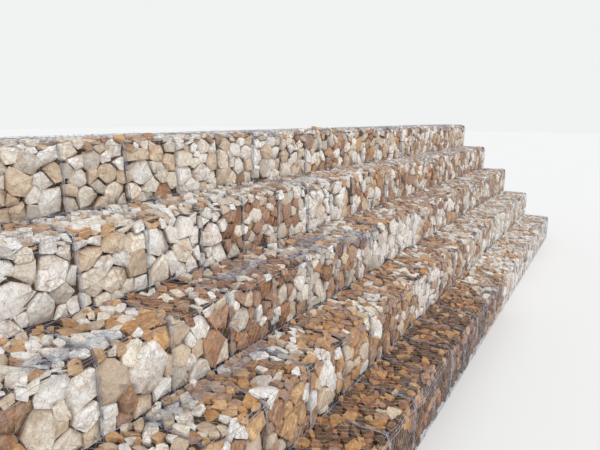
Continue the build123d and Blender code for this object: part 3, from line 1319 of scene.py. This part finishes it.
def painted_wire(stone):
    """1 where a mesh wire runs on the back or an end, and 0 elsewhere."""
    spot = stone.attribute("wire_spot", output=1)
    across, up, painted = (stone.add("SeparateXYZ", {}, {0: spot}, output=k) for k in range(3))
    fold = stone.add("Math", {"operation": "PINGPONG"}, {0: up, 1: ROW_PITCH})
    rise = (fold - TWIST_LENGTH / 2) / (ROW_PITCH - TWIST_LENGTH)
    sway = stone.add("Clamp", {}, {0: rise}) * (MESH_WIDTH / 2)
    ways = []
    for line in (across + sway, across - sway):
        off = stone.add("Math", {"operation": "WRAP"}, {0: line, 1: MESH_WIDTH / 2, 2: -MESH_WIDTH / 2})
        ways.append(stone.add("Math", {"operation": "ABSOLUTE"}, {0: off}))
    nearest = stone.add("Math", {"operation": "MINIMUM"}, {0: ways[0], 1: ways[1]})
    inner, outer = (MAGNIFIED * radius for radius in PAINTED_WIRE)
    return painted * (1 - stone.ramp(nearest * MAGNIFIED, inner, outer))


# %% Put the stone material together
def limestone():
    stone = Shader("limestone")
    look = stone_patterns(stone)
    colour = stained_and_shaded_colour(stone, look, broken_colour(stone, look, body_colour(stone, look)))
    crack = cracks_of(stone, look)
    colour = stone.mix(crack * 0.6, colour, CRACK_COLOUR)
    pits = 1 - stone.ramp(look.speckle, 0.36, 0.46)
    colour = stone.mix(pits * 0.25, colour, CRACK_COLOUR)
    # Painted shade, darkest where a point lies deep in its bed: the sides of each stone and the heart.
    colour = stone.mix(stone.ramp(look.depth, 0.35, 1.0) * 0.8, colour, SHADE_COLOUR)
    wire = painted_wire(stone) * (1 - stone.ramp(look.depth, 0.1, 0.3))
    colour = stone.mix(wire, colour, WIRE_PALE)
    rough = stone.noise(look.own, 13.0, 6.0, 0.7) + look.mottle * 0.5 + look.streak * 0.4
    relief = rough - crack * 0.25 + wire * 0.3
    normal = stone.add("Bump", {}, {"Strength": 0.9, "Distance": 0.04, "Height": relief})
    stone.set(Base_Color=colour, Roughness=0.9 - look.cloud * 0.1 - wire * 0.3, Normal=normal)
    return stone.material


SHARP_ANGLE = math.radians(32)
stone_material = limestone()
for piece in stone_pieces:
    piece.data.materials.append(stone_material)
    bpy.ops.object.select_all(action="DESELECT")
    piece.select_set(True)
    bpy.context.view_layer.objects.active = piece
    bpy.ops.object.shade_smooth_by_angle(angle=SHARP_ANGLE)
print("nodes of the stone material:", len(stone_material.node_tree.nodes))

# %% [markdown]
# ## Weathered galvanised wire
# The zinc has dulled to a blue-grey with paler bloom. It could be plain metal, but
# bright metal only mirrors the sky. Under the bloom little of it is bare, so the shader
# is a quarter metallic and rather rough.

# %% The wire material
def galvanised():
    wire = Shader("galvanised_wire")
    bloom = wire.noise(wire.place(), 9.0)
    colour = wire.mix(wire.ramp(bloom, 0.40, 0.60), WIRE_DARK, WIRE_PALE)
    wire.set(Base_Color=colour, Roughness=0.5 + bloom * 0.2, Metallic=0.25)
    return wire.material


wire_material = galvanised()
for piece in wire_pieces:
    piece.data.materials.append(wire_material)
print("nodes of the wire material:", len(wire_material.node_tree.nodes))

# %% [markdown]
# ## The camera
# The camera stands a little above the top course, close to the wall, and looks along
# it. Its place is measured from the wall's far end and its top face, so that it follows
# the wall. Its three directions are worked out and set as a matrix, because a roll of a
# third of a degree is easier to give so than by turning the camera by hand.

# %% Place the camera
CAMERA_BEFORE_END = 23.47
CAMERA_OFF_TOP_FACE = 6.09
CAMERA_ABOVE_TOP = 0.31
HEADING = math.radians(33.4)
PITCH_DOWN = math.radians(12.9)
ROLL = math.radians(0.35)
LENS = 28.2

ahead = Vector((math.cos(HEADING), math.sin(HEADING), 0)) * math.cos(PITCH_DOWN)
ahead.z = -math.sin(PITCH_DOWN)
level_right = Vector((math.sin(HEADING), -math.cos(HEADING), 0))
level_up = level_right.cross(ahead)
right = level_right * math.cos(ROLL) + level_up * math.sin(ROLL)
up = right.cross(ahead)
camera_data = bpy.data.cameras.new("camera")
camera_data.lens = LENS
camera = put_in_scene("camera", camera_data)
turn = Matrix((right, up, -ahead)).transposed().to_4x4()
stand = Vector((
    wall_right - CAMERA_BEFORE_END,
    front_y[COURSES] - CAMERA_OFF_TOP_FACE,
    COURSES * BASKET + CAMERA_ABOVE_TOP,
))
camera.matrix_world = Matrix.Translation(stand) @ turn
bpy.context.scene.camera = camera
print("the camera stands at", tuple(round(part, 2) for part in stand))

# %% [markdown]
# ## Floor, sky and sun
# A pale floor and soft light show the stone plainly. The camera and glossy rays see a
# sky as pale as the floor, but the stones are lit by a dimmer one. One wide sun gives
# them soft shadows, high and from the front, as on a bright cloudy day.

# %% Lay the floor
FLOOR_SIZE = 400
FLOOR_COLOUR = (0.75, 0.75, 0.745, 1)
bpy.ops.object.select_all(action="DESELECT")
bpy.ops.mesh.primitive_plane_add(size=FLOOR_SIZE)
floor = bpy.context.object
floor.name = "floor"
floor_look = Shader("pale_floor")
floor_look.set(Base_Color=FLOOR_COLOUR, Roughness=0.9)
floor.data.materials.append(floor_look.material)

# %% Light the sky, and show the camera a paler one
SKY_LIGHT = (0.98, 0.99, 1.0, 1)
SKY_LEVEL = 0.77
SEEN_SKY = (0.88, 0.885, 0.89, 1)
world = bpy.data.worlds.new("sky")
bpy.context.scene.world = world
world.use_nodes = True
nodes, links = world.node_tree.nodes, world.node_tree.links
lit, seen = nodes["Background"], nodes.new("ShaderNodeBackground")
lit.inputs["Color"].default_value = SKY_LIGHT
lit.inputs["Strength"].default_value = SKY_LEVEL
seen.inputs["Color"].default_value = SEEN_SKY
ray, which = nodes.new("ShaderNodeLightPath"), nodes.new("ShaderNodeMixShader")
seen_by = ray.outputs["Is Camera Ray"]
for kind in ("Is Glossy Ray", "Is Transmission Ray"):
    either = nodes.new("ShaderNodeMath")
    either.operation = "MAXIMUM"
    links.new(seen_by, either.inputs[0])
    links.new(ray.outputs[kind], either.inputs[1])
    seen_by = either.outputs[0]
links.new(seen_by, which.inputs[0])
links.new(lit.outputs[0], which.inputs[1])
links.new(seen.outputs[0], which.inputs[2])
links.new(which.outputs[0], nodes["World Output"].inputs["Surface"])

# %% Hang the sun
SUN_ENERGY = 2.0
SUN_WIDTH = math.radians(25)
SUN_TURN = (math.radians(42), math.radians(-18), 0)
sun_data = bpy.data.lights.new("soft_sun", "SUN")
sun_data.energy = SUN_ENERGY
sun_data.angle = SUN_WIDTH
sun = put_in_scene("soft_sun", sun_data)
sun.rotation_euler = SUN_TURN
print("sky", SKY_LEVEL, "sun", SUN_ENERGY)

# %% [markdown]
# ## Finish
# The view transform is Standard, so that a colour shows as it was written. Stones and
# wires stand a few centimetres out of the box of the frame. Stones and wires may stand
# out of it by a few centimetres, and no more.

# %% Set the view transform
bpy.context.scene.view_settings.view_transform = "Standard"
